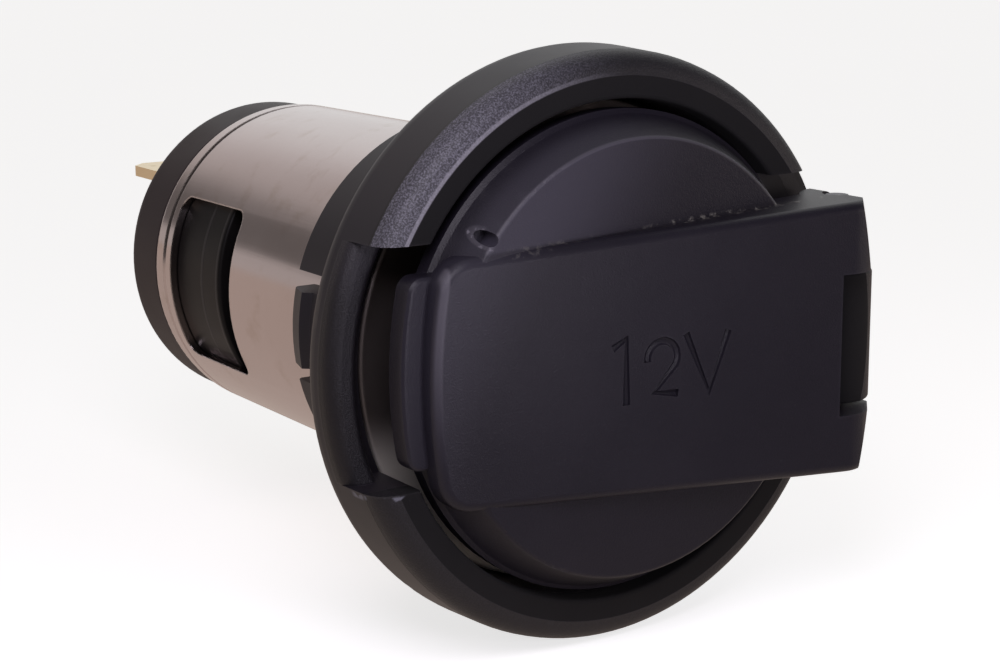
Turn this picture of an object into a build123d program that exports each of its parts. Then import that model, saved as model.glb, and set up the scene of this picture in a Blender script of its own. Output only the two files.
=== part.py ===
"""Panel power socket with a sprung lid, each piece as its own solid, in millimetres.

The socket's axis runs along Y with the front at -Y, the hinge on the +X side and +Z up.
The origin lies on the axis, in the plane of the flange's back face that seats on the panel.
"""
import os
from math import acos, atan2, cos, hypot, sin

from build123d import *

os.makedirs("parts", exist_ok=True)

# Broken edges of moulded and pressed pieces
fine_break = 0.15
edge_break = 0.25

# Contact sleeve
bore_radius = 21.45 / 2
sleeve_wall = 0.75
sleeve_radius = bore_radius + sleeve_wall
sleeve_rear = 35.0
lip_width = 3.5
lip_radius = sleeve_radius + lip_width
lip_front = -1.4
lip_rear = lip_front + sleeve_wall
mouth_rounding = 1.2
relief_depth = 0.2
relief_radius = bore_radius + relief_depth
bottom_front = sleeve_rear - sleeve_wall
bottom_hole_radius = 5.0
bottom_rounding = 0.6
window_length = 9.6
window_width = 11.5
window_corner = 1.0
window_end_land = 2.8
window_rear = sleeve_rear - window_end_land
window_front = window_rear - window_length
relief_lead = 0.6
gauged_bore_end = window_front - relief_lead
bead_groove_land = 1.8
bead_groove_y = sleeve_rear - bead_groove_land
bead_groove_width = 0.5
bead_groove_depth = 0.2

# Bezel ring
sleeve_clearance = 0.05
lip_clearance = 0.1
recess_radius = lip_radius + lip_clearance
crown_flat_width = 1.35
crown_flat_radius = recess_radius + crown_flat_width
crown_shoulder = 1.45
crown_shoulder_step = 0.26
crown_shoulder_rounding = 1.3
ring_radius = crown_flat_radius + crown_shoulder
crown_front = -6.2
crown_foot_y = crown_front + crown_shoulder
side_draft = 0.056
bead_width = 1.75
bead_inner_radius = ring_radius - bead_width
bead_front = -3.3
bead_outer_rounding = 0.85
bead_inner_rounding = 0.5
seat_rounding = 1.6
collar_bore = sleeve_radius + sleeve_clearance
collar_wall = 1.425
collar_radius = collar_bore + collar_wall
collar_rear = 10.8
spigot_step = 1.05
spigot_radius = collar_radius + spigot_step
spigot_rear = 2.2
spigot_rounding = 0.4
finger_offset = 0.9
notch_width = 14.0
tongue_offset = 0.4
tongue_width = 4.8
tongue_slot = 1.1
tongue_root = 3.4
snap_height = 0.5
snap_length = 2.0
snap_slope = 0.5
hook_width = 3.2
hook_front = 6.4
hook_length = 2.2
hook_depth = 0.6
hook_clearance = 0.15

# Hinge
pin_outset = 0.4
pin_x = recess_radius + pin_outset
pin_proud = 1.7
pin_y = crown_front - pin_proud
pin_radius = 0.85
pin_recess = 0.12
pin_running_clearance = 0.05
hinge_gap_half_length = 9.7
lug_middle = -0.3
lug_half_length = 4.15
lug_radius = 2.3
lug_root_depth = 0.6
wall_to_lug = 0.25
web_to_wall = 1.1
knuckle_radius = 2.3
knuckle_end_gap = 0.25

# Lid
disc_proud = 2.3
disc_front = crown_front - disc_proud
disc_rim_gap = 0.85
disc_rim_radius = recess_radius - disc_rim_gap
disc_taper = 1.17
disc_front_radius = disc_rim_radius - disc_taper
disc_taper_depth = 2.36
disc_rim_y = disc_front + disc_taper_depth
skirt_gap = 0.575
skirt_radius = recess_radius - skirt_gap
skirt_depth = 3.9
skirt_rear = disc_front + skirt_depth
lid_wall = 1.6
bar_proud = 1.38
bar_front_at_axis = disc_front - bar_proud
bar_slope = 0.12
nose_from_pin = 0.4
bar_nose_x = pin_x - nose_from_pin
bar_nose_rounding = 2.7
bar_root = 1.8
bar_rear = disc_front + bar_root
bar_overhang = 1.05
bar_left_x = -disc_front_radius - bar_overhang
bar_left_arc = 33.0
bar_half_width_left = 7.15
bar_half_width_right = 8.6
bar_corner = 2.2
bar_edge_rounding = 0.65
end_from_pin = 2.0
bar_end_x = pin_x + end_from_pin
bar_end_arc = 24.0
bar_end_corner = 0.8
bar_end_crown = 48.0
bar_end_crown_turn = -43.0
bar_end_crown_middle = -0.6
bar_end_crown_from_pin = 2.42
bar_hollow_left_x = -6.0
tab_width = 10.8
tab_reach = 1.2
tab_radius = disc_rim_radius + tab_reach
tab_proud = 0.8
tab_front = crown_front - tab_proud
tab_thickness = 1.4
tab_corner = 2.0
tab_edge_rounding = 0.45

# Lid spring
wire_radius = 0.2
coil_radius = 1.28
coil_half_length = 1.7
coil_turns = 5.25
spring_pocket_radius = 1.75
spring_pocket_half_length = 2.5
leg_hole_radius = 0.35
lid_leg_length = 5.4
ring_leg_length = 3.7
leg_hole_end_gap = 0.2

# Insulators, contact and rivet
insulator_clearance = 0.05
insulator_floor_wall = 2.85
insulator_floor = bottom_front - insulator_floor_wall
insulator_depth = 5.9
insulator_front = insulator_floor - insulator_depth
insulator_wall = 1.575
insulator_rounding = 0.5
neck_clearance = 0.05
cap_step = 0.175
cap_radius = sleeve_radius - cap_step
cap_length = 5.1
cap_rear = sleeve_rear + cap_length
cap_rounding = 1.3
rivet_radius = 1.5
rivet_clearance = 0.05
rivet_head_radius = 2.7
rivet_head_height = 0.9
rivet_head_rounding = 0.6
contact_thickness = 0.5
contact_radius = 4.3
contact_flat_radius = 3.0
contact_dish = 1.0

# Blades
blade_width = 6.3
blade_thickness = 0.8
blade_tip_chamfer = 1.1
blade_hole_radius = 0.85
blade_hole_from_tip = 4.0
earth_blade_x = -4.5
earth_blade_z = 5.8
earth_blade_reach = 7.5
earth_blade_tip = cap_rear + earth_blade_reach
earth_foot_inset = 1.5
earth_foot_radius = cap_radius - earth_foot_inset
earth_foot_gap = 0.2
earth_foot_hole_radius = bottom_hole_radius + earth_foot_gap
positive_blade_z = -4.2
positive_blade_reach = 8.0
positive_blade_tip = cap_rear + positive_blade_reach
positive_foot_top = 3.4
slot_clearance = 0.05


def turned(corners):
    """Solid of revolution about the socket's axis from (radius, y, rounding) corners."""
    face = make_face(Polyline(*[(r, y) for r, y, _ in corners], close=True))
    for r, y, rounding in corners:
        if rounding > 0:
            face = fillet(face.vertices().sort_by_distance((r, y, 0))[0], rounding)
    return revolve(face, Axis.Y)


def block(x_range, y_range, z_range):
    """Box given by its low and high limits on each axis."""
    size = [high - low for low, high in (x_range, y_range, z_range)]
    middle = [(high + low) / 2 for low, high in (x_range, y_range, z_range)]
    return Pos(*middle) * Box(*size)


def about(middle, half_length):
    """Low and high limits of a stretch given by its middle and half its length."""
    return middle - half_length, middle + half_length


def hinge_cylinder(radius, z_range):
    """Cylinder about the hinge pin's axis between two heights."""
    low, high = z_range
    return Pos(pin_x, pin_y, (low + high) / 2) * Cylinder(radius, high - low)


def front_prism(face, y_low, y_high):
    """Prism along the socket's axis from a face drawn in front view, as x and z."""
    plane = Plane(origin=(0, y_low, 0), x_dir=(1, 0, 0), z_dir=(0, 1, 0))
    mirrored = plane * mirror(face, Plane.XZ)
    return extrude(mirrored, y_high - y_low)


def side_radius(y):
    """Radius of the ring's drafted outer side."""
    return ring_radius + side_draft * (y - crown_foot_y)


def bar_front(x):
    """Y of the bar's sloping front face."""
    return bar_front_at_axis - bar_slope * x


# Contact sleeve
sleeve = turned([
    (bore_radius, lip_front, mouth_rounding),
    (lip_radius, lip_front, edge_break),
    (lip_radius, lip_rear, edge_break),
    (sleeve_radius, lip_rear, fine_break),
    (sleeve_radius, sleeve_rear, bottom_rounding),
    (bottom_hole_radius, sleeve_rear, 0),
    (bottom_hole_radius, bottom_front, 0),
    (relief_radius, bottom_front, fine_break),
    (relief_radius, gauged_bore_end, 0),
    (bore_radius, gauged_bore_end, 0),
])
across = (-2 * sleeve_radius, 2 * sleeve_radius)
window = block(across, (window_front, window_rear), about(0, window_width / 2))
window = fillet(window.edges().filter_by(Axis.X), window_corner)
hook_window = block(
    across,
    (hook_front - hook_clearance, hook_front + hook_length + hook_clearance),
    about(tongue_offset, hook_width / 2 + hook_clearance),
)
groove_outside = sleeve_radius + bead_groove_width
bead_groove = turned([
    (groove_outside, bead_groove_y - bead_groove_width, 0),
    (sleeve_radius, bead_groove_y - bead_groove_width / 2, 0),
    (sleeve_radius - bead_groove_depth, bead_groove_y, 0),
    (sleeve_radius, bead_groove_y + bead_groove_width / 2, 0),
    (groove_outside, bead_groove_y + bead_groove_width, 0),
])
sleeve = sleeve - window - hook_window - bead_groove

# Bezel ring: flange with the low bead, spigot and collar
flange = turned([
    (collar_bore, lip_rear, 2 * fine_break),
    (recess_radius, lip_rear, 0),
    (recess_radius, lip_front, 0),
    (bead_inner_radius, lip_front, 0),
    (bead_inner_radius, bead_front, bead_inner_rounding),
    (side_radius(bead_front), bead_front, bead_outer_rounding),
    (side_radius(0), 0, seat_rounding),
    (spigot_radius, 0, 0),
    (spigot_radius, spigot_rear, spigot_rounding),
    (collar_radius, spigot_rear, 0),
    (collar_radius, collar_rear - edge_break, 0),
    (collar_radius - edge_break, collar_rear, 0),
    (collar_bore, collar_rear, 0),
])

# Bezel ring: crown, open at the finger notch and at the hinge
crown_root_radius = ring_radius - bead_outer_rounding
crown_root_y = bead_front + bead_outer_rounding
shoulder_radius = ring_radius - crown_shoulder_step
shoulder_y = crown_front + crown_shoulder_step
crown = turned([
    (recess_radius, lip_front, 0),
    (recess_radius, crown_front, edge_break),
    (crown_flat_radius, crown_front, 0),
    (shoulder_radius, shoulder_y, crown_shoulder_rounding),
    (ring_radius, crown_foot_y, 0),
    (side_radius(crown_root_y), crown_root_y, 0),
    (crown_root_radius, crown_root_y, 0),
    (crown_root_radius, lip_front, 0),
])
finger_notch = block(
    (-2 * ring_radius, -recess_radius / 2),
    (2 * crown_front, lip_front),
    about(finger_offset, notch_width / 2),
)
hinge_gap = block(
    (recess_radius / 2, 2 * ring_radius),
    (2 * crown_front, crown_foot_y),
    about(0, hinge_gap_half_length),
)
crown = crown - finger_notch - hinge_gap

# Bezel ring: hinge lug with the spring pocket
hinge_wall_x = pin_x - lug_radius - wall_to_lug
lug_web_inner_x = hinge_wall_x + web_to_wall
lug_range = about(lug_middle, lug_half_length)
end_arc = Pos(bar_end_x - bar_end_arc, lug_middle) * Circle(bar_end_arc)
lug_barrel = hinge_cylinder(lug_radius, lug_range)
lug_barrel = fillet(lug_barrel.edges().filter_by(GeomType.CIRCLE), edge_break)
lug_web = block((lug_web_inner_x, bar_end_x), (pin_y, bead_front + lug_root_depth), lug_range)
lug = (lug_barrel + lug_web) & front_prism(end_arc, 2 * pin_y, -pin_y)
pocket_range = about(lug_middle, spring_pocket_half_length)
spring_pocket = hinge_cylinder(spring_pocket_radius, pocket_range)
spring_pocket += block(
    (pin_x - 2 * lug_radius, pin_x), about(pin_y, spring_pocket_radius), pocket_range
)
ring_leg_x = pin_x + coil_radius
ring_leg_z = lug_middle - coil_half_length
ring_leg_hole = Pos(ring_leg_x, pin_y + ring_leg_length / 2, ring_leg_z) * (
    Rot(90, 0, 0) * Cylinder(leg_hole_radius, ring_leg_length + 2 * leg_hole_end_gap)
)
ring = flange + crown + lug
ring -= spring_pocket
ring -= hinge_cylinder(pin_radius, lug_range)
ring -= ring_leg_hole

# Bezel ring: two sprung tongues in the collar, with outer snap ribs and inner hooks
snap_front = collar_rear - snap_length - snap_slope
snap_root_radius = collar_radius - collar_wall / 2
snap_profile = make_face(Polyline(
    (snap_root_radius, snap_front),
    (collar_radius, snap_front),
    (collar_radius + snap_height, snap_front + snap_slope),
    (collar_radius, collar_rear - edge_break),
    (snap_root_radius, collar_rear - edge_break),
    close=True,
))
hook_rear = hook_front + hook_length
hook_root_radius = collar_bore + collar_wall / 3
hook_profile = make_face(Polyline(
    (hook_root_radius, hook_front),
    (collar_bore - hook_depth, hook_front),
    (collar_bore, hook_rear),
    (hook_root_radius, hook_rear),
    close=True,
))
tongue_edge = tongue_width / 2
for side in (1, -1):
    outwards = sorted((side * collar_bore / 2, side * 2 * collar_radius))
    along_tongue = (tongue_root, collar_rear)
    snap_rib = revolve(snap_profile, Axis.Y)
    hook = revolve(hook_profile, Axis.Y)
    ring += snap_rib & block(outwards, along_tongue, about(tongue_offset, tongue_edge))
    ring += hook & block(outwards, along_tongue, about(tongue_offset, hook_width / 2))
    for edge_side in (1, -1):
        slot_z = tongue_offset + edge_side * (tongue_edge + tongue_slot / 2)
        ring -= block(outwards, (tongue_root, 2 * collar_rear), about(slot_z, tongue_slot / 2))

# Lid: disc with its hollow
disc = turned([
    (0, disc_front, 0),
    (disc_front_radius, disc_front, 2 * fine_break),
    (disc_rim_radius, disc_rim_y, fine_break),
    (skirt_radius, disc_rim_y + edge_break, 0),
    (skirt_radius, skirt_rear - edge_break, 0),
    (skirt_radius - edge_break, skirt_rear, 0),
    (0, skirt_rear, 0),
])
hollow_front = disc_front + lid_wall
disc_hollow = turned([
    (0, hollow_front, 0),
    (skirt_radius - lid_wall, hollow_front, 2 * edge_break),
    (skirt_radius - lid_wall, -skirt_rear, 0),
    (0, -skirt_rear, 0),
])

# Lid: bar with its sloping front, rounded ends and hinge barrel
nose_y = bar_front(bar_nose_x)
pin_from_nose = hypot(pin_x - bar_nose_x, pin_y - nose_y)
nose_direction = atan2(nose_y - pin_y, bar_nose_x - pin_x)
tangent_direction = nose_direction + acos(knuckle_radius / pin_from_nose)
tangent_point = (
    pin_x + knuckle_radius * cos(tangent_direction),
    pin_y + knuckle_radius * sin(tangent_direction),
)
bar_side_left = 2 * bar_left_x
bar_side = make_face(Polyline(
    (bar_side_left, bar_rear),
    (bar_side_left, bar_front(bar_side_left)),
    (bar_nose_x, nose_y),
    tangent_point,
    (pin_x, pin_y),
    (pin_x, bar_rear),
    close=True,
))
nose_corner = bar_side.vertices().sort_by_distance((bar_nose_x, nose_y, 0))[0]
bar_side = fillet(nose_corner, bar_nose_rounding)
bar_side += Pos(pin_x, pin_y) * Rot(0, 0, 180) * Circle(knuckle_radius)
bar_wedge = extrude(bar_side, 2 * bar_half_width_right, both=True)
bar_outline = make_face(Polyline(
    (bar_left_x, -bar_half_width_left),
    (bar_end_x, -bar_half_width_right),
    (bar_end_x, bar_half_width_right),
    (bar_left_x, bar_half_width_left),
    close=True,
))
bar_outline &= Pos(bar_left_x + bar_left_arc, 0) * Circle(bar_left_arc)
bar_outline &= end_arc
outline_corners = bar_outline.vertices().sort_by(Axis.X)
bar_outline = fillet(outline_corners[:2], bar_corner)
bar_outline = fillet(bar_outline.vertices().sort_by(Axis.X)[-2:], bar_end_corner)
bar = bar_wedge & front_prism(bar_outline, 3 * disc_front, disc_rim_y + bar_edge_rounding)
bar_rim = bar.edges().filter_by(
    lambda edge: edge.center().Y < bar_rear - bar_edge_rounding
    and edge.geom_type != GeomType.LINE
    or edge.center().Y < bar_front(edge.center().X) + fine_break
    and abs(edge.tangent_at(0.5).X) > abs(edge.tangent_at(0.5).Z)
)
bar = fillet(bar_rim, bar_edge_rounding)

# Lid: the bar's hinge end, crowned across its width
crown_outwards = Pos(pin_x, pin_y, bar_end_crown_middle) * Rot(0, 0, bar_end_crown_turn)
crown_roller = Rot(90, 0, 0) * Cylinder(bar_end_crown, 4 * bar_end_crown)
bar &= crown_outwards * Pos(bar_end_crown_from_pin - bar_end_crown, 0, 0) * crown_roller

# Lid: finger tab
tab_outline = Pos(0, finger_offset) * Rectangle(4 * tab_radius, tab_width)
tab_outline &= Circle(tab_radius)
tab_outline &= Pos(-tab_radius, 0) * Rectangle(tab_radius, 4 * tab_width)
tab_outline = fillet(tab_outline.vertices().sort_by(Axis.X)[:2], tab_corner)
tab = front_prism(tab_outline, tab_front, tab_front + tab_thickness)
tab = fillet(tab.edges().group_by(Axis.Y)[0].sort_by(Axis.X)[:-1], tab_edge_rounding)

# Lid: hollow bar, hinge wall, knuckles and the spring leg's hole
lid = disc + bar + tab
hollow_right_x = hinge_wall_x - lid_wall
hollow_rear = hollow_front + lid_wall / 3
bar_hollow_face = make_face(Polyline(
    (bar_hollow_left_x, hollow_rear),
    (bar_hollow_left_x, bar_front(bar_hollow_left_x) + lid_wall),
    (hollow_right_x, bar_front(hollow_right_x) + lid_wall),
    (hollow_right_x, hollow_rear),
    close=True,
))
lid = lid - disc_hollow - extrude(bar_hollow_face, bar_half_width_left - lid_wall, both=True)
lid -= block(
    (hinge_wall_x, 2 * pin_x),
    (4 * disc_front, -disc_front),
    about(lug_middle, lug_half_length + knuckle_end_gap),
)
lid -= hinge_cylinder(pin_radius + pin_running_clearance, about(0, 2 * bar_half_width_right))
lid_leg_y = pin_y - coil_radius
lid_leg_z = lug_middle + coil_half_length
lid_leg_hole_length = lid_leg_length + 2 * leg_hole_end_gap
lid -= Pos(pin_x - lid_leg_length / 2, lid_leg_y, lid_leg_z) * (
    Rot(0, 90, 0) * Cylinder(leg_hole_radius, lid_leg_hole_length)
)

# Hinge pin, its ends a little below the knuckles' end faces
bar_taper = (bar_half_width_right - bar_half_width_left) / (bar_end_x - bar_left_x)
knuckle_outer_z = bar_half_width_right - bar_taper * (bar_end_x - pin_x)
hinge_pin = hinge_cylinder(pin_radius, about(0, knuckle_outer_z - pin_recess))
hinge_pin = chamfer(hinge_pin.edges().filter_by(GeomType.CIRCLE), fine_break)

# Lid spring: coil round the pin, with legs that run on from its ends into the ring and the lid
coil_rise = 2 * coil_half_length
coil_path = Helix(pitch=coil_rise / coil_turns, height=coil_rise, radius=coil_radius, lefthand=True)
coil_section = Plane(origin=coil_path @ 0, z_dir=coil_path % 0) * Circle(wire_radius)
coil = sweep(coil_section, path=coil_path, is_frenet=True)
ring_leg = Pos(coil_radius, (ring_leg_length - wire_radius) / 2, 0) * (
    Rot(90, 0, 0) * Cylinder(wire_radius, ring_leg_length + wire_radius)
)
lid_leg = Pos((wire_radius - lid_leg_length) / 2, -coil_radius, coil_rise) * (
    Rot(0, 90, 0) * Cylinder(wire_radius, lid_leg_length + wire_radius)
)
lid_spring = Pos(pin_x, pin_y, ring_leg_z) * (coil + ring_leg + lid_leg)

# Inner insulator
insulator_radius = relief_radius - insulator_clearance
insulator_bore_radius = insulator_radius - insulator_wall
rivet_hole_radius = rivet_radius + rivet_clearance
insulator = turned([
    (rivet_hole_radius, insulator_floor, 0),
    (insulator_bore_radius, insulator_floor, insulator_rounding),
    (insulator_bore_radius, insulator_front, edge_break),
    (insulator_radius, insulator_front, edge_break),
    (insulator_radius, bottom_front, edge_break),
    (bottom_hole_radius - neck_clearance, bottom_front, 0),
    (bottom_hole_radius - neck_clearance, sleeve_rear, 0),
    (rivet_hole_radius, sleeve_rear, 0),
])


def blade(x, z, y_low, y_tip):
    """Flat blade along the socket's axis with a chamfered tip and a catch hole."""
    plate = block(about(x, blade_width / 2), (y_low, y_tip), about(z, blade_thickness / 2))
    tip_corners = plate.edges().filter_by(Axis.Z).group_by(Axis.Y)[-1]
    plate = chamfer(tip_corners, blade_tip_chamfer)
    hole = Pos(x, y_tip - blade_hole_from_tip, z) * Cylinder(blade_hole_radius, 2 * blade_thickness)
    return plate - hole


# Earth blade: ring foot clamped on the sleeve's bottom, blade bent to the rear
earth_foot_rear = sleeve_rear + blade_thickness
earth_foot = turned([
    (earth_foot_hole_radius, sleeve_rear, 0),
    (earth_foot_radius, sleeve_rear, 0),
    (earth_foot_radius, earth_foot_rear, 0),
    (earth_foot_hole_radius, earth_foot_rear, 0),
])
earth_blade = earth_foot + blade(earth_blade_x, earth_blade_z, sleeve_rear, earth_blade_tip)

# Rear cap
cap = turned([
    (rivet_hole_radius, sleeve_rear, 0),
    (earth_foot_hole_radius - slot_clearance, sleeve_rear, 0),
    (earth_foot_hole_radius - slot_clearance, earth_foot_rear, 0),
    (earth_foot_radius + slot_clearance, earth_foot_rear, 0),
    (earth_foot_radius + slot_clearance, sleeve_rear, 0),
    (cap_radius, sleeve_rear, fine_break),
    (cap_radius, cap_rear, cap_rounding),
    (rivet_hole_radius, cap_rear, 0),
])
cap -= block(
    about(earth_blade_x, blade_width / 2 + slot_clearance),
    (sleeve_rear, 2 * cap_rear),
    about(earth_blade_z, blade_thickness / 2 + slot_clearance),
)

# Positive blade: foot under the rivet's rear end, blade bent to the rear
positive_foot_rear = cap_rear + blade_thickness
positive_foot = block(
    about(0, blade_width / 2),
    (cap_rear, positive_foot_rear),
    (positive_blade_z - blade_thickness / 2, positive_foot_top),
)
rivet_hole = Pos(0, cap_rear, 0) * (
    Rot(90, 0, 0) * Cylinder(rivet_hole_radius, 4 * blade_thickness)
)
positive_blade = positive_foot + blade(0, positive_blade_z, cap_rear, positive_blade_tip) - rivet_hole

# Centre contact and its rivet
contact_rear = insulator_floor
contact_front = contact_rear - contact_thickness
dish_front = contact_front - contact_dish
centre_contact = turned([
    (rivet_hole_radius, contact_front, 0),
    (contact_flat_radius, contact_front, 0),
    (contact_radius, dish_front, 0),
    (contact_radius + contact_thickness / 2, dish_front + contact_thickness, 0),
    (contact_flat_radius + contact_thickness / 2, contact_rear, 0),
    (rivet_hole_radius, contact_rear, 0),
])
centre_rivet = turned([
    (0, contact_front - rivet_head_height, 0),
    (rivet_head_radius, contact_front - rivet_head_height, rivet_head_rounding),
    (rivet_head_radius, contact_front, 0),
    (rivet_radius, contact_front, 0),
    (rivet_radius, positive_foot_rear, 0),
    (rivet_head_radius, positive_foot_rear, 0),
    (rivet_head_radius, positive_foot_rear + rivet_head_height, rivet_head_rounding),
    (0, positive_foot_rear + rivet_head_height, 0),
])

export_step(ring, "parts/bezel_ring.step")
export_step(lid, "parts/lid.step")
export_step(hinge_pin, "parts/hinge_pin.step")
export_step(lid_spring, "parts/lid_spring.step")
export_step(sleeve, "parts/contact_sleeve.step")
export_step(insulator, "parts/inner_insulator.step")
export_step(cap, "parts/rear_cap.step")
export_step(earth_blade, "parts/earth_blade.step")
export_step(positive_blade, "parts/positive_blade.step")
export_step(centre_contact, "parts/centre_contact.step")
export_step(centre_rivet, "parts/centre_rivet.step")
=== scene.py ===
"""Looks, light and camera for the panel power socket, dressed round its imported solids."""
from math import atan, cos, radians, sin, tau

import bmesh
import bpy
from mathutils import Matrix, Vector
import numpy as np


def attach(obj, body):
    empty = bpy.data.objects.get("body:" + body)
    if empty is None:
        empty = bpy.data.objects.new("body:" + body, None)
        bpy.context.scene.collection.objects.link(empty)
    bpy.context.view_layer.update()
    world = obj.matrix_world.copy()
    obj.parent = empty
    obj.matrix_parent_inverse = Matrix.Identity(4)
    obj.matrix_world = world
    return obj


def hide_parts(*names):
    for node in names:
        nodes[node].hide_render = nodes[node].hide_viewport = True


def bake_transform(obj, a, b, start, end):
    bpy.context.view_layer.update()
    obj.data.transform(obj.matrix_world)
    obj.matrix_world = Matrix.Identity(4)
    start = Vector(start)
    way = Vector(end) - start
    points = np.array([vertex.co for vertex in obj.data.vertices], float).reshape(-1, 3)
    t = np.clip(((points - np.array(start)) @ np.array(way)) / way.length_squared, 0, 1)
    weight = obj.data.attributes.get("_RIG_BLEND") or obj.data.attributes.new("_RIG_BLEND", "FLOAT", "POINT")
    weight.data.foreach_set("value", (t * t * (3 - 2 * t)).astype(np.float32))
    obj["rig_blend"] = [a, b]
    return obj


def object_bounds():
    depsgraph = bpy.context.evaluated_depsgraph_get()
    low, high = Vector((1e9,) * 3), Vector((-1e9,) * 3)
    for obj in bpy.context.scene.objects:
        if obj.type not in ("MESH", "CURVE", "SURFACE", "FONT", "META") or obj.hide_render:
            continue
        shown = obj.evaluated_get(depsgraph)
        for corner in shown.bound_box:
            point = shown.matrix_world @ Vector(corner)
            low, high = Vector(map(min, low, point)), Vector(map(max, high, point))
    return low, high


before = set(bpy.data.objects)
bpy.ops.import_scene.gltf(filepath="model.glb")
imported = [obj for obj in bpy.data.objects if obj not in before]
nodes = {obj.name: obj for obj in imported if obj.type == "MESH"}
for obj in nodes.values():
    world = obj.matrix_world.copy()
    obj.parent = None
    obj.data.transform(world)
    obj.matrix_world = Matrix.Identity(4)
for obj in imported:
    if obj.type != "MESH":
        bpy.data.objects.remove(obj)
cad_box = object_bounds()
scene = bpy.context.scene
MM = 0.001

# Places on the object, in millimetres, after the part's source
PIN_X, PIN_Y = 15.475, -7.9
COIL_RADIUS, WIRE_RADIUS = 1.28, 0.2
COIL_LOW, COIL_HIGH, COIL_TURNS = -2.0, 1.4, 5.25
RING_LEG, LID_LEG = 3.7, 5.4
CROWN_FLAT_RADIUS, CROWN_FOOT_Y = 16.425, -4.75
NOTCH_LOW, NOTCH_TOP, NOTCH_RIGHT_X = -6.1, 7.9, -13.2
BEAD_FRONT, BEAD_REAR = -3.6, -2.1
SLEEVE_REAR = 35.0
PIN_HALF_LENGTH = 8.388
CAP_RADIUS, CAP_REAR = 11.3, 40.1
DISC_FRONT, DISC_RADIUS = -8.5, 13.05
BAR_SLOPE, BAR_FRONT = 0.12, -9.88
BAR_TAPER, BAR_HALF_WIDTH = 0.046, 7.70
BAR_END_ARC, BAR_END_MIDDLE_X = 33.0, 18.895
LID_HOLLOW_RADIUS = 12.9

# Pale painted highlight lines where step edges on the insulator catch light: place along Y and width, in
# millimetres
STEP_GLINT_LINES = ((28.2, 0.22), (25.9, 0.16))

# Finger tab, in millimetres
TAB_FRONT, TAB_REAR = -7.01, -5.59
TAB_OUTER_X, TAB_INNER_X = -15.45, -11.5
TAB_LOW, TAB_TOP = -4.75, 6.25
TAB_ARC, TAB_ARC_MIDDLE = 25.0, 0.3
TAB_CORNER, TAB_EDGE = 0.7, 0.35

# Moulding pit beside the bar's corner, in millimetres
PIT_X, PIT_Z, PIT_RADIUS, PIT_FLOOR = -10.45, 8.2, 0.42, -7.0
PIT_CUT_LENGTH = 3.0

# Trim at the bar's tab end, in millimetres: its reach along and across, height and bite
TRIM_LEFT_X, TRIM_RIGHT_X, TRIM_HALF_WIDTH = -13.3, -11.2, 6.6
TRIM_HEIGHT, TRIM_BITE = 1.0, 0.003

# Voltage mark: half width of its strokes, in millimetres
STROKE_RADIUS = 0.24


# Shader helpers
class Value:
    """A shader socket that builds Math nodes from Python operators."""

    def __init__(self, net, socket):
        self.net = net
        self.socket = socket

    def maths(self, operation, *others):
        return self.net.maths(operation, self, *others)

    def __add__(self, other):
        return self.maths("ADD", other)

    __radd__ = __add__

    def __sub__(self, other):
        return self.maths("SUBTRACT", other)

    def __rsub__(self, other):
        return self.net.maths("SUBTRACT", other, self)

    def __mul__(self, other):
        return self.maths("MULTIPLY", other)

    __rmul__ = __mul__

    def __abs__(self):
        return self.maths("ABSOLUTE")


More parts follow.
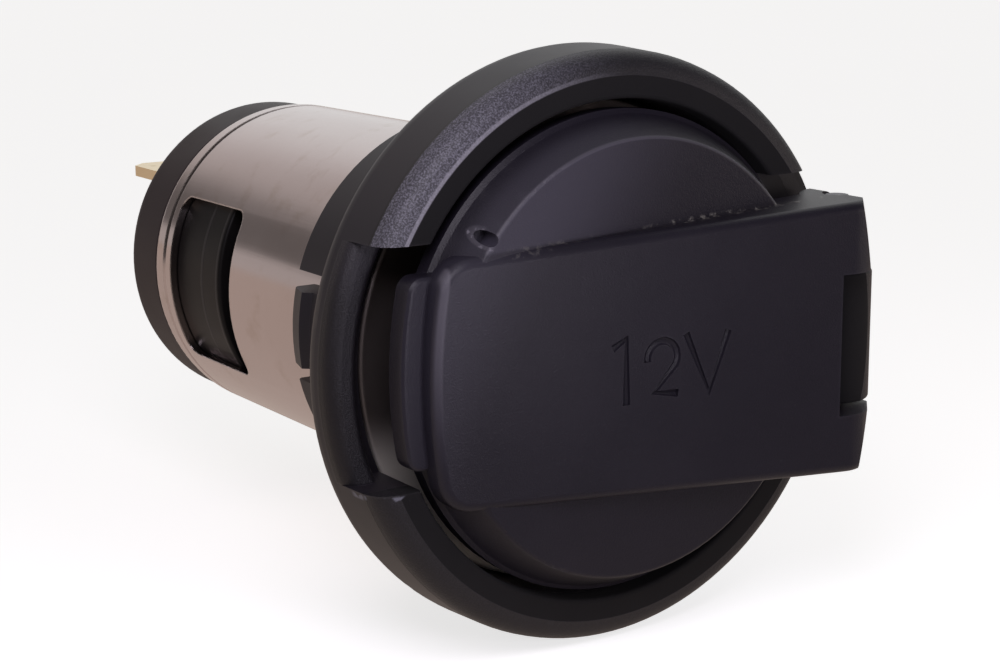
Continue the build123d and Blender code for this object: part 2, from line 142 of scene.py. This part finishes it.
class Net:
    """A node tree with one method for any node."""

    def __init__(self, tree, output):
        self.tree = tree
        self.tree.nodes.clear()
        self.output = self.tree.nodes.new(output)

    def node(self, kind, settings=None, inputs=None, output=0):
        made = self.tree.nodes.new(kind)
        for key, value in (settings or {}).items():
            setattr(made, key, value)
        for key, value in (inputs or {}).items():
            if isinstance(value, Value):
                self.tree.links.new(value.socket, made.inputs[key])
            else:
                made.inputs[key].default_value = value
        return Value(self, made.outputs[output])

    def maths(self, operation, *values):
        return self.node("ShaderNodeMath", {"operation": operation}, dict(enumerate(values)))

    def vector(self, operation, inputs, output=0):
        return self.node("ShaderNodeVectorMath", {"operation": operation}, inputs, output)

    def millimetres(self):
        place = self.node("ShaderNodeTexCoord", output="Object")
        return self.vector("SCALE", {0: place, "Scale": 1000.0})

    def axes(self, place):
        return [
            self.node("ShaderNodeSeparateXYZ", inputs={0: place}, output=index) for index in range(3)
        ]

    def noise(self, place, scale, detail=2.0, rough=0.5):
        return self.node(
            "ShaderNodeTexNoise",
            inputs={"Vector": place, "Scale": scale, "Detail": detail, "Roughness": rough},
        )

    def streaks(self, place, along_x, along_y, along_z, detail=2.0):
        drawn = self.vector("MULTIPLY", {0: place, 1: (along_x, along_y, along_z)})
        return self.noise(drawn, 1.0, detail)

    def step(self, value, low, high):
        return self.node(
            "ShaderNodeMapRange",
            {"interpolation_type": "SMOOTHSTEP", "clamp": True},
            {"Value": value, "From Min": low, "From Max": high, "To Min": 0.0, "To Max": 1.0},
        )

    def band(self, value, low, high, soft):
        return self.step(value, low - soft, low + soft) * (1 - self.step(value, high - soft, high + soft))

    def near(self, value, middle, width):
        return 1 - self.step(abs(value - middle), width * 0.4, width)

    def length(self, first, second):
        return self.maths("SQRT", first * first + second * second)

    def both(self, first, second):
        return self.maths("MAXIMUM", first, second)

    def blend(self, factor, first, second):
        return self.node(
            "ShaderNodeMix",
            {"data_type": "RGBA"},
            {0: factor, 6: first, 7: second},
            output=2,
        )

    def blend_value(self, factor, first, second):
        return first + factor * (second - first)

    def rounded(self, reach):
        return self.node("ShaderNodeBevel", {"samples": 2}, {"Radius": reach * MM})

    def worn(self, rounded):
        plain = self.node("ShaderNodeNewGeometry", output="Normal")
        along = self.vector("DOT_PRODUCT", {0: rounded, 1: plain}, output="Value")
        return self.step(1 - along, 0.02, 0.22)

    def bump(self, height, strength, depth, **more):
        return self.node(
            "ShaderNodeBump",
            inputs={"Height": height, "Strength": strength, "Distance": depth * MM, **more},
        )

    def surface(self, kind="ShaderNodeBsdfPrincipled", **inputs):
        shader = self.node(kind, inputs={key.replace("_", " "): value for key, value in inputs.items()})
        self.tree.links.new(shader.socket, self.output.inputs["Surface"])


class Finish(Net):
    """A material with its own node tree."""

    def __init__(self, name):
        self.material = bpy.data.materials.new(name)
        self.material.use_nodes = True
        super().__init__(self.material.node_tree, "ShaderNodeOutputMaterial")


def colour(red, green, blue):
    return (red, green, blue, 1.0)


# Finishes
def bezel_black():
    """Moulded black: eroded sparkle on the crown's shoulder, painted paler at the upper left as painted
    sheen, painted glints at the notch, painted shade on the flat, the lower bead and the foot line, smooth
    elsewhere.
    """
    net = Finish("bezel_black")
    place = net.millimetres()
    x, y, z = net.axes(place)
    radius = net.length(x, z)
    front = 1 - net.step(y, CROWN_FOOT_Y - 0.06, CROWN_FOOT_Y + 0.04)
    outside = net.step(radius, CROWN_FLAT_RADIUS - 0.03, CROWN_FLAT_RADIUS + 0.03)
    shoulder = front * outside
    flat = front * (1 - outside)
    in_notch = 1 - net.step(x, NOTCH_RIGHT_X - 0.2, NOTCH_RIGHT_X + 0.2)
    in_notch = in_notch * net.band(z, NOTCH_LOW + 0.05, NOTCH_TOP - 0.05, 0.05)
    bead = in_notch * net.band(y, BEAD_FRONT, BEAD_REAR, 0.1)
    lower_bead = bead * (1 - net.step(z, 4.0, 7.0))
    foot = net.near(y, CROWN_FOOT_Y + 0.05, 0.14) * net.step(radius, 17.4, 17.6)
    cloud = net.noise(place, 0.22, 3)
    grit = net.noise(place, 9.5, 3, 0.6)
    fine = net.noise(place, 14, 2)
    edge = net.worn(net.rounded(0.22))
    upper_left = net.step(0.45 * z - x, 6.5, 17.0) * net.step(z, -4.0, 5.0)
    inner_edge_highlight = upper_left * net.near(radius, CROWN_FLAT_RADIUS + 0.10, 0.16) * front
    notch_edge = net.near(z, NOTCH_LOW - 0.26, 0.24) * (1 - net.step(x, -13.0, -12.0))
    notch_edge = notch_edge * net.step(radius, 15.9, 16.2) * net.band(y, -6.4, -3.6, 0.2)
    notch_glints = notch_edge * net.step(net.noise(place, 1.5, 2), 0.46, 0.58)
    smooth = net.blend(cloud, colour(0.0125, 0.0105, 0.0145), colour(0.0185, 0.0155, 0.0210))
    # Painted shade: the flat annulus beside the lid is painted darker.
    smooth = net.blend(flat, smooth, colour(0.0042, 0.0036, 0.0048))
    # Painted sheen: both grit tones are painted far paler toward the upper left, where the light falls on
    # the shoulder.
    pale_grit_sheen = net.blend(upper_left, colour(0.017, 0.016, 0.020), colour(0.165, 0.160, 0.200))
    dark_grit_sheen = net.blend(upper_left, colour(0.011, 0.010, 0.013), colour(0.040, 0.038, 0.048))
    sparkle = net.blend(net.step(grit, 0.38, 0.70), dark_grit_sheen, pale_grit_sheen)
    tone = net.blend(net.both(shoulder, 0.05 * bead), smooth, sparkle)
    tone = net.blend(edge * (0.08 + 0.20 * net.step(cloud, 0.45, 0.7)), tone, colour(0.085, 0.081, 0.092))
    # Painted shade: the lower part of the bead is painted darker.
    tone = net.blend(0.6 * lower_bead, tone, colour(0.0045, 0.0038, 0.0052))
    # Painted glints: pale flecks along the shoulder's edge at the notch's lower end.
    tone = net.blend(0.5 * notch_glints, tone, colour(0.26, 0.26, 0.32))
    # Painted highlight: a pale line along the crown's inner edge at the upper left.
    tone = net.blend(0.55 * inner_edge_highlight, tone, colour(0.30, 0.29, 0.34))
    # Painted shade: a thin dark line in the crease at the crown's foot.
    tone = net.blend(0.7 * foot, tone, colour(0.004, 0.0035, 0.005))
    eroded = net.both(shoulder, bead)
    relief = eroded * grit + (1 - eroded) * 0.10 * fine
    net.surface(
        Base_Color=tone,
        Roughness=0.40 + 0.10 * cloud + 0.03 * eroded + 0.45 * flat,
        Specular_IOR_Level=0.44,
        Normal=net.bump(relief, 0.7, 0.05),
    )
    return net.material


def lid_black():
    """Matt black with a fine grain, painted sheen at the upper left, painted highlights along the rim and
    the bar's end, pale flash, dust specks and rubbed edges.
    """
    net = Finish("lid_black")
    place = net.millimetres()
    x, y, z = net.axes(place)
    radius = net.length(x, z)
    cloud = net.noise(place, 0.16, 3)
    grain = net.noise(place, 9, 2, 0.6)
    fine = net.noise(place, 26, 2)
    edge = net.worn(net.rounded(0.3))
    from_middle = abs(z) - BAR_TAPER * x
    junction = net.near(from_middle, BAR_HALF_WIDTH, 0.40) * net.near(y, DISC_FRONT, 0.5)
    along_bar = net.both(net.step(x, -1.5, 2.5), 0.3 * net.band(x, -9.5, -3.5, 0.8))
    upper = junction * net.step(z, 0.0, 1.0) * along_bar
    # Painted highlights: pale lines along the disc's rim at the top and along the bar's rounded end.
    rim = net.near(radius, DISC_RADIUS, 0.13) * net.near(y, DISC_FRONT, 0.3) * net.step(z, 4.0, 8.0)
    from_end = BAR_END_ARC - net.length(x - BAR_END_MIDDLE_X, z)
    end_line = net.near(from_end, 0.30, 0.28) * net.step(z, -5.0, 5.0) * net.step(-1 * y, 7.3, 7.8)
    from_pit = net.length(x - PIT_X, z - PIT_Z)
    pit_rim = net.near(from_pit, PIT_RADIUS + 0.10, 0.17) * (1 - net.step(x, PIT_X - 0.2, PIT_X + 0.3))
    on_disc = net.step(from_middle, BAR_HALF_WIDTH + 0.05, BAR_HALF_WIDTH + 0.35)
    # Painted sheen: the bar and disc are painted paler toward the upper left, where the light falls.
    upper_left = 0.45 * z - x
    disc_sheen = net.step(upper_left, 1.0, 12.0) * (0.90 - 0.46 * net.step(radius, 12.9, 13.2))
    bar_sheen = 0.44 * net.step(upper_left, 9.0, 16.0)
    painted_sheen = net.blend_value(on_disc, bar_sheen, disc_sheen * net.step(z, -2.0, 4.0))
    painted_sheen = painted_sheen * net.step(-1 * y, 6.3, 7.6)
    ragged = net.step(net.noise(place, 2.2, 3, 0.7), 0.50, 0.66)
    flash = upper * ragged
    painted_edge_highlights = net.both(0.22 * rim * on_disc, 0.35 * end_line)
    highlights_and_pit_flash = net.both(painted_edge_highlights, 0.6 * pit_rim * (0.25 + ragged))
    dust = net.step(net.noise(place, 1.9, 2), 0.74, 0.80) * 0.35
    tone = net.blend(cloud, colour(0.0112, 0.0098, 0.0155), colour(0.0155, 0.0132, 0.0208))
    # Painted sheen toward the upper left.
    tone = net.blend(painted_sheen, tone, colour(0.0480, 0.0445, 0.0630))
    tone = net.blend(edge * (0.05 + 0.14 * net.step(cloud, 0.4, 0.7)), tone, colour(0.11, 0.105, 0.125))
    tone = net.blend(dust, tone, colour(0.036, 0.035, 0.040))
    # Painted highlights on the rim and the bar's end, with the pale flash round the pit.
    tone = net.blend(highlights_and_pit_flash, tone, colour(0.20, 0.19, 0.225))
    tone = net.blend(flash * 0.8, tone, colour(0.21, 0.20, 0.185))
    relief = 0.6 * grain + 0.25 * fine + 0.3 * flash
    net.surface(
        Base_Color=tone,
        Roughness=0.34 + 0.12 * cloud,
        Specular_IOR_Level=0.3,
        Normal=net.bump(relief, 0.6, 0.05),
    )
    return net.material


def insulator_black():
    """Black moulding with two faint painted highlight lines where step edges catch light."""
    net = Finish("insulator_black")
    place = net.millimetres()
    y = net.axes(place)[1]
    cloud = net.noise(place, 0.5, 3)
    step_glints = net.both(*(net.near(y, middle, width) for middle, width in STEP_GLINT_LINES))
    tone = net.blend(cloud, colour(0.006, 0.0052, 0.0056), colour(0.010, 0.0088, 0.0092))
    # Painted highlights: the two pale lines where step edges catch light.
    tone = net.blend(0.35 * step_glints, tone, colour(0.07, 0.065, 0.068))
    net.surface(
        Base_Color=tone,
        Roughness=0.34 + 0.12 * cloud,
        Specular_IOR_Level=0.18,
        Normal=net.bump(0.2 * net.noise(place, 6, 2) + step_glints, 0.3, 0.04),
    )
    return net.material


def cap_black():
    """Brown-black moulded cap with a satin skin and rubbed corners."""
    net = Finish("cap_black")
    place = net.millimetres()
    x, y, z = net.axes(place)
    radius = net.length(x, z)
    cloud = net.noise(place, 0.35, 3)
    grain = net.noise(place, 12, 2)
    edge = net.near(radius, CAP_RADIUS - 0.2, 0.3) * net.near(y, CAP_REAR - 0.2, 0.4)
    tone = net.blend(cloud, colour(0.024, 0.0150, 0.0175), colour(0.034, 0.0220, 0.0250))
    tone = net.blend(edge * 0.14, tone, colour(0.12, 0.10, 0.105))
    net.surface(
        Base_Color=tone,
        Roughness=0.46 + 0.12 * cloud,
        Specular_IOR_Level=0.4,
        Normal=net.bump(grain, 0.35, 0.03),
    )
    return net.material


def nickel_plate():
    """Bright plating over drawn steel: drawing lines, clouding, stains and a dull lip, the lip painted
    darker as painted shade in the gap and paler low down as a painted highlight.
    """
    net = Finish("nickel_plate")
    place = net.millimetres()
    y, z = net.axes(place)[1:]
    cloud = net.noise(place, 0.12, 4, 0.6)
    drawn = net.streaks(place, 5.0, 0.12, 5.0, 3)
    rings = net.streaks(place, 0.05, 7.0, 0.05, 2)
    scratch = net.step(net.streaks(place, 9.0, 0.5, 9.0, 1), 0.70, 0.76)
    rear = net.step(y, SLEEVE_REAR - 4.0, SLEEVE_REAR)
    lip = 1 - net.step(y, -0.2, 0.4)
    low_lip_highlight = lip * (1 - net.step(z, -6.5, -2.5))
    rounded = net.rounded(0.18)
    edge = net.worn(rounded)
    stain = net.step(net.noise(place, 0.35, 4, 0.65), 0.52, 0.72)
    tone = net.blend(cloud, colour(0.585, 0.505, 0.490), colour(0.665, 0.590, 0.585))
    tone = net.blend(0.35 * stain, tone, colour(0.46, 0.37, 0.31))
    # Painted shade: the lip is painted darker where it lies in the gap under the lid.
    tone = net.blend(0.5 * lip, tone, colour(0.30, 0.27, 0.25))
    # Painted highlight: the lip's low part is painted pale and made less metallic, as if lit.
    tone = net.blend(0.8 * low_lip_highlight, tone, colour(0.78, 0.75, 0.68))
    tone = net.blend(0.45 * edge, tone, colour(0.92, 0.89, 0.88))
    relief = 0.6 * drawn + 0.5 * rear * rings + 0.25 * scratch
    net.surface(
        Base_Color=tone,
        Metallic=1 - 0.55 * low_lip_highlight,
        Roughness=0.09 + 0.07 * cloud + 0.05 * drawn + 0.04 * scratch + 0.28 * lip,
        Normal=net.bump(relief, 0.22, 0.012, Normal=rounded),
    )
    return net.material


def stamped_brass():
    """Rolled brass strip with a few dull patches."""
    net = Finish("stamped_brass")
    place = net.millimetres()
    cloud = net.noise(place, 0.4, 3)
    rolled = net.streaks(place, 6.0, 0.4, 6.0, 2)
    dull = net.step(net.noise(place, 0.8, 3, 0.6), 0.55, 0.72)
    tone = net.blend(cloud, colour(0.86, 0.69, 0.42), colour(0.95, 0.82, 0.57))
    tone = net.blend(0.3 * dull, tone, colour(0.55, 0.40, 0.20))
    net.surface(
        Base_Color=tone,
        Metallic=1.0,
        Roughness=0.26 + 0.12 * cloud + 0.08 * dull,
        Normal=net.bump(rolled, 0.3, 0.01),
    )
    return net.material


def cut_steel():
    """Steel wire for the hinge pin, dull on its sheared ends."""
    net = Finish("cut_steel")
    place = net.millimetres()
    z = net.axes(place)[2]
    ends = net.step(abs(z), PIN_HALF_LENGTH - 0.188, PIN_HALF_LENGTH - 0.088)
    cloud = net.noise(place, 1.2, 3)
    torn = net.noise(place, 9, 3, 0.7)
    tone = net.blend(cloud, colour(0.30, 0.30, 0.31), colour(0.44, 0.44, 0.45))
    tone = net.blend(ends, tone, net.blend(torn, colour(0.09, 0.09, 0.10), colour(0.26, 0.26, 0.28)))
    net.surface(
        Base_Color=tone,
        Metallic=1.0,
        Roughness=0.30 + 0.12 * cloud + 0.15 * ends,
        Normal=net.bump(torn * ends, 0.5, 0.03),
    )
    return net.material


def spring_wire():
    """Drawn spring wire with an oil-dark skin."""
    net = Finish("spring_wire")
    place = net.millimetres()
    cloud = net.noise(place, 1.5, 3)
    drawn = net.noise(place, 14, 2)
    tone = net.blend(cloud, colour(0.26, 0.25, 0.25), colour(0.46, 0.45, 0.44))
    net.surface(
        Base_Color=tone,
        Metallic=1.0,
        Roughness=0.28 + 0.14 * cloud,
        Normal=net.bump(drawn, 0.25, 0.01),
    )
    return net.material


# Mesh helpers
def dress(piece, material):
    piece.data.materials.clear()
    piece.data.materials.append(material)


def keep_as_object(name, mesh):
    piece = bpy.data.objects.new(name, mesh)
    scene.collection.objects.link(piece)
    return piece


def finished(bm, name):
    mesh = bpy.data.meshes.new(name)
    bm.to_mesh(mesh)
    bm.free()
    return keep_as_object(name, mesh)


def shade(mesh, angle):
    mesh.shade_smooth()
    mesh.set_sharp_from_angle(angle=radians(angle))


def changed(base, tool, operation):
    """The base joined to the tool or cut by it; both inputs go."""
    name = base.name
    change = base.modifiers.new("change", "BOOLEAN")
    change.operation = operation
    change.solver = "EXACT"
    change.use_self = True
    change.object = tool
    seen = base.evaluated_get(bpy.context.evaluated_depsgraph_get())
    made = bpy.data.meshes.new_from_object(seen)
    bpy.data.objects.remove(base)
    bpy.data.objects.remove(tool)
    return keep_as_object(name, made)


def merged_copy(node, name):
    """A CAD node's loose triangles, joined into one mesh that shades by itself."""
    bm = bmesh.new()
    bm.from_mesh(nodes[node].data)
    bmesh.ops.remove_doubles(bm, verts=bm.verts, dist=0.002 * MM)
    piece = finished(bm, name)
    for attribute in [item for item in piece.data.attributes if item.name == "custom_normal"]:
        piece.data.attributes.remove(attribute)
    return piece


def along_y(middle):
    return Matrix.Translation(Vector(middle) * MM) @ Matrix.Rotation(radians(90), 4, "X")


# Lid: squarer finger tab, trimmed bar end, moulding pit and voltage mark
def finger_tab():
    """Tab with a shallow outer arc, small corners and a rounded front edge."""
    bm = bmesh.new()
    bmesh.ops.create_circle(
        bm,
        cap_ends=True,
        segments=120,
        radius=TAB_ARC * MM,
        matrix=along_y((TAB_OUTER_X + TAB_ARC, TAB_FRONT, TAB_ARC_MIDDLE)),
    )
    sides = (((TAB_INNER_X, 0, 0), (1, 0, 0)), ((0, 0, TAB_TOP), (0, 0, 1)), ((0, 0, TAB_LOW), (0, 0, -1)))
    for place, way in sides:
        bmesh.ops.bisect_plane(
            bm,
            geom=bm.verts[:] + bm.edges[:] + bm.faces[:],
            dist=1e-7,
            plane_co=Vector(place) * MM,
            plane_no=way,
            clear_outer=True,
        )
    made = bmesh.ops.extrude_face_region(bm, geom=bm.faces[:])["geom"]
    moved = [item for item in made if isinstance(item, bmesh.types.BMVert)]
    bmesh.ops.translate(bm, verts=moved, vec=(0, (TAB_REAR - TAB_FRONT) * MM, 0))
    bmesh.ops.recalc_face_normals(bm, faces=bm.faces)

    def span(edge, axis):
        return [vertex.co[axis] / MM for vertex in edge.verts]

    corners = [
        edge
        for edge in bm.edges
        if abs(span(edge, 1)[0] - span(edge, 1)[1]) > 1
        and max(span(edge, 0)) < TAB_INNER_X - 1
        and min(abs(span(edge, 2)[0] - end) for end in (TAB_LOW, TAB_TOP)) < 0.001
    ]
    bmesh.ops.bevel(
        bm, geom=corners, offset=TAB_CORNER * MM, segments=5, profile=0.5, affect="EDGES", material=-1
    )
    rim = [
        edge
        for edge in bm.edges
        if max(span(edge, 1)) < TAB_FRONT + 0.001 and min(span(edge, 0)) < TAB_INNER_X - 0.001
    ]
    bmesh.ops.bevel(bm, geom=rim, offset=TAB_EDGE * MM, segments=3, profile=0.5, affect="EDGES", material=-1)
    tab = finished(bm, "tab")
    core = bmesh.new()
    bmesh.ops.create_cone(
        core,
        cap_ends=True,
        segments=180,
        radius1=(LID_HOLLOW_RADIUS + 0.4) * MM,
        radius2=(LID_HOLLOW_RADIUS + 0.4) * MM,
        depth=20 * MM,
        matrix=along_y((0, 0, 0)),
    )
    return changed(tab, finished(core, "core"), "DIFFERENCE")


def bar_face(x, z):
    return Vector((x, BAR_FRONT - BAR_SLOPE * x, z)) * MM


def arc(centre, radius, start, end, steps):
    turns = [radians(start + (end - start) * step / steps) for step in range(steps + 1)]
    return [(centre[0] + radius * cos(turn), centre[1] + radius * sin(turn)) for turn in turns]


def bar_end_trim():
    """Block that takes the disc's edge off flush with the bar's face at the tab end."""
    outwards = Vector((-BAR_SLOPE, -1, 0)).normalized()
    middle = bar_face((TRIM_LEFT_X + TRIM_RIGHT_X) / 2, 0)
    middle += outwards * (TRIM_HEIGHT / 2 - TRIM_BITE) * MM
    turn = Matrix.Rotation(-atan(BAR_SLOPE), 4, "Z")
    sides = Vector((TRIM_RIGHT_X - TRIM_LEFT_X, TRIM_HEIGHT, 2 * TRIM_HALF_WIDTH)) * MM
    size = Matrix.Diagonal((*sides, 1.0))
    bm = bmesh.new()
    bmesh.ops.create_cube(bm, size=1.0, matrix=Matrix.Translation(middle) @ turn @ size)
    return finished(bm, "bar_end_trim")


def moulding_pit():
    """Flat-bottomed pit beside the bar's upper corner."""
    bm = bmesh.new()
    bmesh.ops.create_cone(
        bm,
        cap_ends=True,
        segments=32,
        radius1=PIT_RADIUS * MM,
        radius2=PIT_RADIUS * MM,
        depth=PIT_CUT_LENGTH * MM,
        matrix=along_y((PIT_X, PIT_FLOOR - PIT_CUT_LENGTH / 2, PIT_Z)),
    )
    return finished(bm, "moulding_pit")


def mark_strokes():
    """Round-bottomed strokes that lie half in the bar's face."""
    one = [(-2.96, 1.28), (-2.06, 1.78), (-2.03, -2.14)]
    two = arc((0.34, 0.42), 1.0, 190, -28, 14) + [(-0.16, -1.60), (1.42, -1.80)]
    letter = [(1.91, 1.69), (3.55, -2.0), (4.80, 1.62)]
    curve = bpy.data.curves.new("mark_strokes", "CURVE")
    curve.dimensions = "3D"
    curve.bevel_depth = STROKE_RADIUS * MM
    curve.bevel_resolution = 2
    curve.use_fill_caps = True
    for points in (one, two, letter):
        spline = curve.splines.new("POLY")
        spline.points.add(len(points) - 1)
        for point, (x, z) in zip(spline.points, points):
            point.co = (*bar_face(x, z), 1.0)
    holder = bpy.data.objects.new("mark_strokes", curve)
    bm = bmesh.new()
    bm.from_mesh(bpy.data.meshes.new_from_object(holder))
    bpy.data.objects.remove(holder)
    bmesh.ops.remove_doubles(bm, verts=bm.verts, dist=1e-6)
    bmesh.ops.recalc_face_normals(bm, faces=bm.faces)
    return finished(bm, "mark_strokes")


def marked_lid():
    """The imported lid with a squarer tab, a flush bar end, its pit and its mark."""
    piece = merged_copy("lid", "marked_lid")
    piece = changed(piece, finger_tab(), "UNION")
    piece = changed(piece, bar_end_trim(), "DIFFERENCE")
    piece = changed(piece, moulding_pit(), "DIFFERENCE")
    piece = changed(piece, mark_strokes(), "DIFFERENCE")
    shade(piece.data, 24)
    even = piece.modifiers.new("even_faces", "WEIGHTED_NORMAL")
    even.keep_sharp = True
    return piece


# Spring
def lid_spring():
    """Torsion spring with one leg to the ring and one to the lid."""
    bm = bmesh.new()
    ring = bmesh.ops.create_circle(
        bm,
        segments=12,
        radius=WIRE_RADIUS * MM,
        matrix=along_y((PIN_X + COIL_RADIUS, PIN_Y, COIL_LOW)),
    )
    first = list({edge for vertex in ring["verts"] for edge in vertex.link_edges})
    steps = round(COIL_TURNS * 28)
    wound = bmesh.ops.spin(
        bm,
        geom=first,
        cent=Vector((PIN_X, PIN_Y, 0)) * MM,
        axis=(0, 0, 1),
        dvec=Vector((0, 0, (COIL_HIGH - COIL_LOW) / steps)) * MM,
        angle=-COIL_TURNS * tau,
        steps=steps,
    )
    last = [item for item in wound["geom_last"] if isinstance(item, bmesh.types.BMEdge)]
    for end, along in ((first, Vector((0, RING_LEG, 0))), (last, Vector((-LID_LEG, 0, 0)))):
        leg = bmesh.ops.extrude_edge_only(bm, edges=end)["geom"]
        moved = [item for item in leg if isinstance(item, bmesh.types.BMVert)]
        bmesh.ops.translate(bm, verts=moved, vec=along * MM)
    bmesh.ops.holes_fill(bm, edges=bm.edges[:])
    bmesh.ops.remove_doubles(bm, verts=bm.verts, dist=1e-7)
    bmesh.ops.recalc_face_normals(bm, faces=bm.faces)
    piece = finished(bm, "hinge_spring")
    shade(piece.data, 50)
    return piece


# Dressing
brass = stamped_brass()
dress(nodes["bezel_ring"], bezel_black())
dress(nodes["inner_insulator"], insulator_black())
dress(nodes["rear_cap"], cap_black())
dress(nodes["contact_sleeve"], nickel_plate())
dress(nodes["hinge_pin"], cut_steel())
for name in ("earth_blade", "positive_blade", "centre_contact", "centre_rivet"):
    dress(nodes[name], brass)

lid = marked_lid()
dress(lid, lid_black())
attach(lid, "flap")
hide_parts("lid")

spring = lid_spring()
dress(spring, spring_wire())
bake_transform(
    spring,
    "socket",
    "flap",
    start=Vector((PIN_X, PIN_Y, COIL_LOW)) * MM,
    end=Vector((PIN_X, PIN_Y, COIL_HIGH)) * MM,
)
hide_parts("lid_spring")


# Floor that keeps the shadow
def pale_floor():
    """White to the eye, warm near the object and dim in front for reflections."""
    net = Finish("pale_floor")
    place = net.millimetres()
    y = net.axes(place)[1]
    seen = net.node("ShaderNodeLightPath", output="Is Camera Ray")
    mirrored = net.node("ShaderNodeLightPath", output="Is Glossy Ray")
    through = net.node("ShaderNodeLightPath", output="Is Transmission Ray")
    reflected = net.both(mirrored, through) * (1 - seen)
    behind = net.step(y, -42.0, -8.0)
    warm = net.blend(behind, colour(0.13, 0.115, 0.115), colour(0.49, 0.40, 0.355))
    warm = net.blend(reflected, colour(0, 0, 0), warm)
    mottle = net.noise(place, 0.01, 3)
    pale = net.blend(mottle, colour(0.78, 0.78, 0.78), colour(0.80, 0.80, 0.80))
    net.surface(
        Base_Color=net.blend(reflected, pale, colour(0, 0, 0)),
        Roughness=0.85,
        Specular_IOR_Level=0.0,
        Emission_Color=net.blend(seen, warm, colour(0.70, 0.70, 0.70)),
        Emission_Strength=1.0,
    )
    return net.material


bm = bmesh.new()
bmesh.ops.create_grid(bm, x_segments=1, y_segments=1, size=3.0)
bmesh.ops.translate(bm, verts=bm.verts, vec=(0, 0, cad_box[0][2]))
floor = finished(bm, "floor")
dress(floor, pale_floor())

# Room: white to the eye, pale behind and dim in front for reflections, even for soft light
world = bpy.data.worlds.new("studio")
world.use_nodes = True
scene.world = world
room = Net(world.node_tree, "ShaderNodeOutputWorld")
way_x, way_y, way_z = room.axes(room.node("ShaderNodeTexCoord", output="Generated"))
seen = room.node("ShaderNodeLightPath", output="Is Camera Ray")
mirrored = room.node("ShaderNodeLightPath", output="Is Glossy Ray")
through = room.node("ShaderNodeLightPath", output="Is Transmission Ray")
left = 1 - room.step(way_x, -0.22, -0.08)
flag = left * room.step(way_z, 0.09, 0.13) * (1 - room.step(way_z, 0.28, 0.46))
window = room.both(
    room.step(way_z, 0.26, 0.46) * room.step(way_x, -0.22, 0.28),
    room.step(way_x, 0.05, 0.30) * room.step(way_z, -0.05, 0.10),
)
pale = 0.04 + room.step(way_y, -0.20, 0.40) * (0.46 + 0.31 * window) * (1 - 0.75 * flag)
soft = 0.26
bright = seen + (1 - seen) * (room.both(mirrored, through) * (pale - soft) + soft)
tint = room.blend(room.both(seen, window), colour(1.0, 0.91, 0.88), colour(1, 1, 1))
room.surface("ShaderNodeBackground", Color=tint, Strength=bright)


# Lamps
def lamp(name, place, aim, size, power, tint):
    data = bpy.data.lights.new(name, "AREA")
    data.shape = "DISK"
    data.size = size * MM
    data.energy = power
    data.color = tint
    holder = bpy.data.objects.new(name, data)
    way = (Vector(aim) - Vector(place)).to_track_quat("-Z", "Y").to_matrix().to_4x4()
    holder.matrix_world = Matrix.Translation(Vector(place) * MM) @ way
    scene.collection.objects.link(holder)


lamp("key", (-44, -50, 56), (-6, -8, 6), 50, 0.033, (0.94, 0.88, 1.0))
lamp("front", (-3.0, -60, 2.5), (-10, -9, 7), 14, 0.0068, (0.92, 0.86, 1.0))
lamp("side", (110, -70, 16), (15, -9, -3), 60, 0.0175, (1.0, 0.88, 0.84))

# Camera at the photograph's angle
camera_data = bpy.data.cameras.new("camera")
camera_data.sensor_fit = "HORIZONTAL"
camera_data.sensor_width = 36.0
camera_data.lens = 71.70
camera_data.clip_start = 0.002
camera = bpy.data.objects.new("camera", camera_data)
turn = Matrix.Rotation(radians(-33.4831), 4, "Z")
turn = turn @ Matrix.Rotation(radians(90 - 12.3724), 4, "X")
turn = turn @ Matrix.Rotation(radians(-0.4095), 4, "Z")
camera.matrix_world = Matrix.Translation(Vector((-69.375, -98.287, 26.524)) * MM) @ turn
scene.collection.objects.link(camera)
scene.camera = camera

scene.view_settings.view_transform = "Standard"
